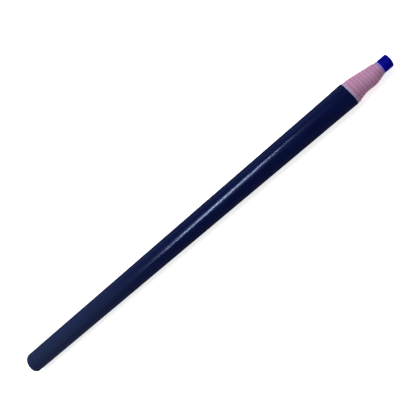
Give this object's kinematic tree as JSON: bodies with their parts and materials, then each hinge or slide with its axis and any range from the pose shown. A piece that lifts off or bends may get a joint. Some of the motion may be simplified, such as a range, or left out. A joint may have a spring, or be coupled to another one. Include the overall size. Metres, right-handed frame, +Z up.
{
  "type": "tailor's chalk pencil",
  "caption": "Round peel-off tailor's chalk pencil: chalk core wound in a paper strip under a thin paper sleeve with a pull string, its tip peeled to a stepped cone.",
  "frame": {"origin": "on the surface the pencil lies on, below the middle of its length and width", "axes": "+X along the pencil towards the peeled tip, +Z up"},
  "size_m": [0.174, 0.008, 0.0079],
  "materials": {
    "chalk_blue": "waxy matt chalk",
    "strip_paper": "uncoated soft paper, pink, with ply edges",
    "sleeve_paper": "smooth coated paper, navy, low gloss",
    "string_cotton": "twisted undyed thread"
  },
  "bodies": {
    "root": {"marking_core": "chalk_blue", "paper_wrap": "strip_paper", "outer_sleeve": "sleeve_paper", "pull_string": "string_cotton"}
  },
  "joints": []
}
